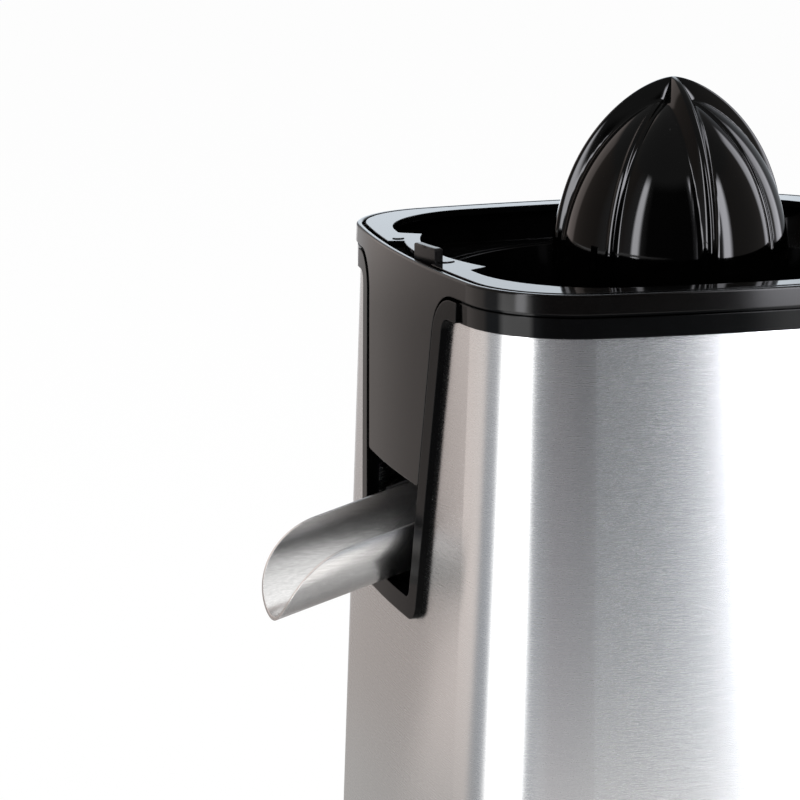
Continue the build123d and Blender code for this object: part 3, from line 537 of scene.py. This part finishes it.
def dome(share, radius, top):
    """Reach, height and outward direction on a pointed dome, from its waist at 0 to its tip at 1."""
    rest = 1 - share
    rise = top - given["Waist"]
    waist_pull, tip_pull, tip_dip = given["Waist Pull"], given["Tip Pull"], given["Tip Dip"]
    low_weight = 3 * rest * rest * share
    high_weight = 3 * rest * share * share
    reach = radius * (rest**3 + low_weight + tip_pull * high_weight)
    lifted = waist_pull * low_weight * rise + (rise - tip_dip) * high_weight + rise * share**3
    step_in = radius * (2 * rest * share * (1 - tip_pull) + tip_pull * share * share)
    step_up = waist_pull * rise * rest * rest + tip_dip * share * share
    step_up = step_up + 2 * rest * share * (rise - tip_dip - waist_pull * rise)
    length = (step_in * step_in + step_up * step_up) ** 0.5
    return reach, given["Waist"] + lifted, step_up / length, step_in / length


def off_line(place):
    """Distance from the nearest whole number."""
    return (place - place.math("ROUND")).math("ABSOLUTE")


flat, around, down = sheet(given["Columns"], given["Rows"])
even_place = around * rib_count
nearest = even_place.math("ROUND")
offset = even_place - nearest
crowded = offset.math("SIGN") * 0.5 * (offset.math("ABSOLUTE") * 2) ** crowding
even_place = nearest + crowded
rib_place = even_place - given["Short Shift"] * (0.5 - 0.5 * (even_place * pi).math("COSINE"))
turn = rib_place * (2 * pi / rib_count) + given["Rib Turn"]
outer_share = down.ramp(0.0, skirt_row, 1.0, 0.0)
reach, height, lean_out, lean_up = dome(outer_share, given["Radius"], given["Tip"])
skirt_drop = given["Waist"] - given["Foot"]
height = height - down.ramp(skirt_row, foot_row) * skirt_drop
off_long = off_line(rib_place / 2)
off_short = off_line((rib_place - 1 + given["Short Shift"]) / 2) * pair_angle * reach
lobe = given["Foot Depth"] + (given["Tip Depth"] - given["Foot Depth"]) * outer_share
lobe = lobe - given["Lobe Bulge"] * 8 * off_long * (1 - 2 * off_long)
ridge = off_short.ramp(short_rib_half, short_rib_foot, 1.0, 0.0, "SMOOTHSTEP")
ridge = ridge * outer_share.ramp(short_rib_end, short_rib_gone, 1.0, 0.0)
lobe = lobe - given["Short Rib"] * ridge
flank = off_long * pair_angle * reach - given["Rib Crest"]
depth = flank.math("SMOOTH_MAX", 0.0, rib_soft).math("SMOOTH_MIN", lobe, lobe_soft)
outer_reach = reach - lean_out * depth
outer_height = height - lean_up * depth
inner_radius = given["Radius"] - given["Wall"]
inner_top = given["Tip"] - given["Roof"]
inner_reach, inner_height, _, _ = dome(down.ramp(inner_row, 1.0), inner_radius, inner_top)
inner_height = inner_height - down.ramp(foot_row, inner_row, 1.0, 0.0) * skirt_drop
inside = down.math("GREATER_THAN", foot_row + 0.0005)
shell_reach = inside.towards(outer_reach, inner_reach)
shell_height = inside.towards(outer_height, inner_height)
shell = bend(flat, turn, shell_reach, shell_height)
flat, around, down = sheet(socket_columns, socket_corners + 1)
corner = (down * socket_corners).math("ROUND")
bored = corner.math("COMPARE", 2.5, 0.6)
raised = corner.math("COMPARE", 1.5, 0.6)
socket = bend(
    flat,
    around * (2 * pi),
    bored.towards(given["Socket Radius"], given["Socket Bore"]),
    raised.towards(given["Socket Foot"], inner_top - socket_gap),
)
joined = wire.node("GeometryNodeJoinGeometry")
for part in [socket, shell]:
    wire.tree.links.new(part.socket, joined.socket.node.inputs[0])
close_shape(wire, given, joined)
ribbed_cone = grow("ribbed_cone", wire.tree, reamer_black, **cone_sizes)
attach(ribbed_cone, "cone")
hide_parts("reamer_cone")

# Floor: plain white table that runs on behind the juicer and takes its shadow.
# It shows its own white to the camera and in reflections.
floor_reach = 6.0
floor_whiteness = 0.97


def seen_share(wire):
    """1 where the camera, a reflection or glass sees the surface, and 0 for the light it sheds."""
    seen = wire.node("ShaderNodeLightPath", output="Is Camera Ray")
    for kind in ["Is Glossy Ray", "Is Transmission Ray"]:
        seen = seen + wire.node("ShaderNodeLightPath", output=kind)
    return seen.math("MINIMUM", 1.0)


def set_up(name, points, faces, material):
    """Sheet that belongs to the studio and not to the juicer."""
    mesh = bpy.data.meshes.new(name)
    mesh.from_pydata(points, [], faces)
    mesh.materials.append(material)
    prop = bpy.data.objects.new(name, mesh)
    scene.collection.objects.link(prop)
    return prop


floor_white, wire = open_finish("white table")
lit = wire.node("ShaderNodeBsdfDiffuse", {"Color": (0.85, 0.85, 0.85, 1)})
glow = wire.node("ShaderNodeEmission", {"Color": (1, 1, 1, 1), "Strength": 1.0})
surface = {0: seen_share(wire) * floor_whiteness, 1: lit, 2: glow}
surface = wire.node("ShaderNodeMixShader", surface)
wire.node("ShaderNodeOutputMaterial", {"Surface": surface})
square = [(-1, -1), (1, -1), (1, 1), (-1, 1)]
floor_corners = [(x * floor_reach, y * floor_reach, 0.0) for x, y in square]
set_up("floor", floor_corners, [(0, 1, 2, 3)], floor_white)

# World: white to the camera and in reflections, and a soft even fill for the rest.
fill = 0.45
world = bpy.data.worlds.new("studio")
scene.world = world
world.use_nodes = True
world.node_tree.nodes.clear()
wire = Wire(world.node_tree)
strength = fill + (1 - fill) * seen_share(wire)
sky = wire.node("ShaderNodeBackground", {"Color": (1, 1, 1, 1), "Strength": strength})
wire.node("ShaderNodeOutputWorld", {"Surface": sky})

# Reflector tent: the cards and light panels that a product studio sets round polished metal.
# Only reflections see it. Its tone goes by heading, in degrees round the juicer, and by rise:
# low panels for the steel, high ones for the black plastic, and a dark roof.
tent_outline = [(0.13, 0.0008), (0.95, 0.0008), (0.95, 0.95), (0.6, 1.3), (0.02, 1.45)]
tent_steps = 72
tent_middle = 0.2
low_glow = 5.0
high_glow = 15.0
low_panels = [
    (-180, (0.75, 0.72, 0.72)),
    (-172, (0.56, 0.54, 0.54)),
    (-166, (0.47, 0.43, 0.41)),
    (-142, (0.46, 0.41, 0.39)),
    (-137, (0.95, 0.85, 0.81)),
    (-112, (1.04, 0.95, 0.91)),
    (-106, (0.42, 0.45, 0.49)),
    (-93, (0.48, 0.52, 0.58)),
    (-86, (4.5, 4.5, 4.5)),
    (-60, (4.5, 4.5, 4.5)),
    (-55, (0.6, 0.63, 0.68)),
    (-46, (0.22, 0.23, 0.25)),
    (-36, (0.168, 0.166, 0.184)),
    (-6, (0.164, 0.169, 0.185)),
    (8, (0.172, 0.188, 0.204)),
    (14, (0.24, 0.264, 0.285)),
    (19, (0.46, 0.495, 0.525)),
    (23, (2.5, 2.55, 2.6)),
    (37, (2.4, 2.45, 2.5)),
    (48, (1.3, 1.33, 1.36)),
    (62, (0.9, 0.92, 0.95)),
    (92, (0.5, 0.51, 0.53)),
    (120, (0.7, 0.72, 0.75)),
    (172, (0.9, 0.92, 0.95)),
    (179, (0.8, 0.78, 0.78)),
]
high_panels = [
    (-180, (0.3, 0.32, 0.34)),
    (-170, (0.35, 0.34, 0.34)),
    (-164, (1.15, 1.0, 0.94)),
    (-138, (1.15, 1.0, 0.94)),
    (-134, (0.34, 0.29, 0.26)),
    (-92, (0.3, 0.26, 0.24)),
    (-84, (0.4, 0.38, 0.38)),
    (-74, (0.5, 0.5, 0.52)),
    (-71, (12, 12, 12.6)),
    (-64, (12, 12, 12.6)),
    (-60, (0.3, 0.3, 0.3)),
    (-50, (0.03, 0.03, 0.03)),
    (12, (0.03, 0.03, 0.03)),
    (18, (0.6, 0.6, 0.63)),
    (20, (14, 14, 15)),
    (28, (14, 14, 15)),
    (33, (0.3, 0.28, 0.27)),
    (92, (0.3, 0.28, 0.27)),
    (96, (4, 4, 4.3)),
    (108, (4, 4, 4.3)),
    (113, (0.3, 0.31, 0.33)),
    (146, (0.4, 0.43, 0.46)),
    (153, (1.6, 1.74, 1.88)),
    (172, (1.6, 1.74, 1.88)),
    (177, (0.35, 0.37, 0.4)),
]
roof_tone = (0.25 / high_glow, 0.25 / high_glow, 0.25 / high_glow, 1)
table_edge_tone = (0.1, 0.098, 0.096, 1)


def only_reflected(prop):
    """Hide a sheet from everything but reflections."""
    prop.visible_camera = False
    prop.visible_diffuse = False
    prop.visible_shadow = False


def heading_at(degrees):
    """Place of a heading on the panels' row, which runs once round from 0 to 1."""
    return degrees / 360 + 0.5


def panel_tones(panels, glow):
    """Tone of a row of panels by their heading, as a share of the brightest one's glow."""
    stops = [(heading_at(turn), [channel / glow for channel in tone]) for turn, tone in panels]
    return wire.node("ShaderNodeValToRGB", {0: heading}, stops=stops)


panel_light, wire = open_finish("reflector panels")
place = wire.node("ShaderNodeTexCoord", output="Object")
across, along, above = place.axis("X"), place.axis("Y"), place.axis("Z") - tent_middle
heading = along.math("ARCTAN2", across) / (2 * pi) + 0.5
rise = above.math("ARCTAN2", (across * across + along * along) ** 0.5)
upper = rise.between(radians(-8.5), radians(-1))
tone = upper.blend(panel_tones(low_panels, low_glow), panel_tones(high_panels, high_glow))
tone = rise.between(radians(40), radians(50)).blend(tone, roof_tone)
tone = rise.between(radians(-36), radians(-24)).blend(table_edge_tone, tone)
front = heading.between(heading_at(-54), heading_at(-44))
front = front * heading.ramp(heading_at(20), heading_at(40), 1.0, 0.0)
floor_gain = front.towards(1.0, rise.ramp(radians(-4), radians(-20), 0.3, 3.0))
strength = upper.towards(floor_gain * low_glow, high_glow)
panel = wire.node("ShaderNodeEmission", {"Color": tone, "Strength": strength})
wire.node("ShaderNodeOutputMaterial", {"Surface": panel})
tent_points = []
tent_faces = []
rows = len(tent_outline)
for step in range(tent_steps):
    turn = 2 * pi * step / tent_steps
    tent_points += [(reach * cos(turn), reach * sin(turn), up) for reach, up in tent_outline]
    here, there = step * rows, (step + 1) % tent_steps * rows
    for row in range(rows - 1):
        tent_faces.append((here + row, there + row, there + row + 1, here + row + 1))
only_reflected(set_up("reflector_tent", tent_points, tent_faces, panel_light))

# Spout card: a small white card over the spout, level with the collar, which brightens the
# inside of the trough. It is held out of the way of every other reflection.
card_corners = [(-0.09, -0.32, 0.24), (0.36, -0.32, 0.25), (0.36, -0.1, 0.25), (-0.09, -0.1, 0.24)]
card_white, wire = open_finish("white card")
across = wire.node("ShaderNodeTexCoord", output="Object").axis("X")
strength = across.ramp(-0.03, 0.16, 1.4, 0.55)
glow = wire.node("ShaderNodeEmission", {"Color": (1, 1, 1, 1), "Strength": strength})
wire.node("ShaderNodeOutputMaterial", {"Surface": glow})
only_reflected(set_up("spout_card", card_corners, [(0, 1, 2, 3)], card_white))

# Lamps: one large softbox overhead and one to each side, for soft shadows.
# All three look at the upper part of the body.
lamp_aim = Vector((0, 0, 0.2))


def softbox(name, place, width, height, power):
    """Rectangular area lamp on its stand."""
    lamp = bpy.data.lights.new(name, "AREA")
    lamp.shape = "RECTANGLE"
    lamp.size = width
    lamp.size_y = height
    lamp.energy = power
    stand = bpy.data.objects.new(name, lamp)
    stand.location = place
    stand.rotation_euler = (lamp_aim - Vector(place)).to_track_quat("-Z", "Y").to_euler()
    stand.visible_glossy = False
    scene.collection.objects.link(stand)


softbox("overhead", (-0.2, 0.1, 1.6), width=1.2, height=1.2, power=16)
softbox("left_side", (0.3, -1.3, 0.7), width=0.7, height=1.0, power=10)
softbox("right_side", (0.9, 1.1, 0.8), width=0.7, height=1.0, power=10)

# Camera: a little above the cone's tip, near the spout's side, with a long lens.
# It leans by a small roll.
camera_place = Vector((0.730143, -0.300943, 0.367767))
camera_look = Vector((-0.93463, 0.281165, -0.217742))
camera_roll = radians(0.14)
camera_data = bpy.data.cameras.new("camera")
camera_data.sensor_width = 36.0
camera_data.lens = 124.11
camera_data.clip_start = 0.01
camera = bpy.data.objects.new("camera", camera_data)
aimed = camera_look.to_track_quat("-Z", "Y").to_matrix().to_4x4()
aimed = aimed @ Matrix.Rotation(-camera_roll, 4, "Z")
camera.matrix_world = Matrix.Translation(camera_place) @ aimed
scene.collection.objects.link(camera)
scene.camera = camera
scene.view_settings.view_transform = "Standard"
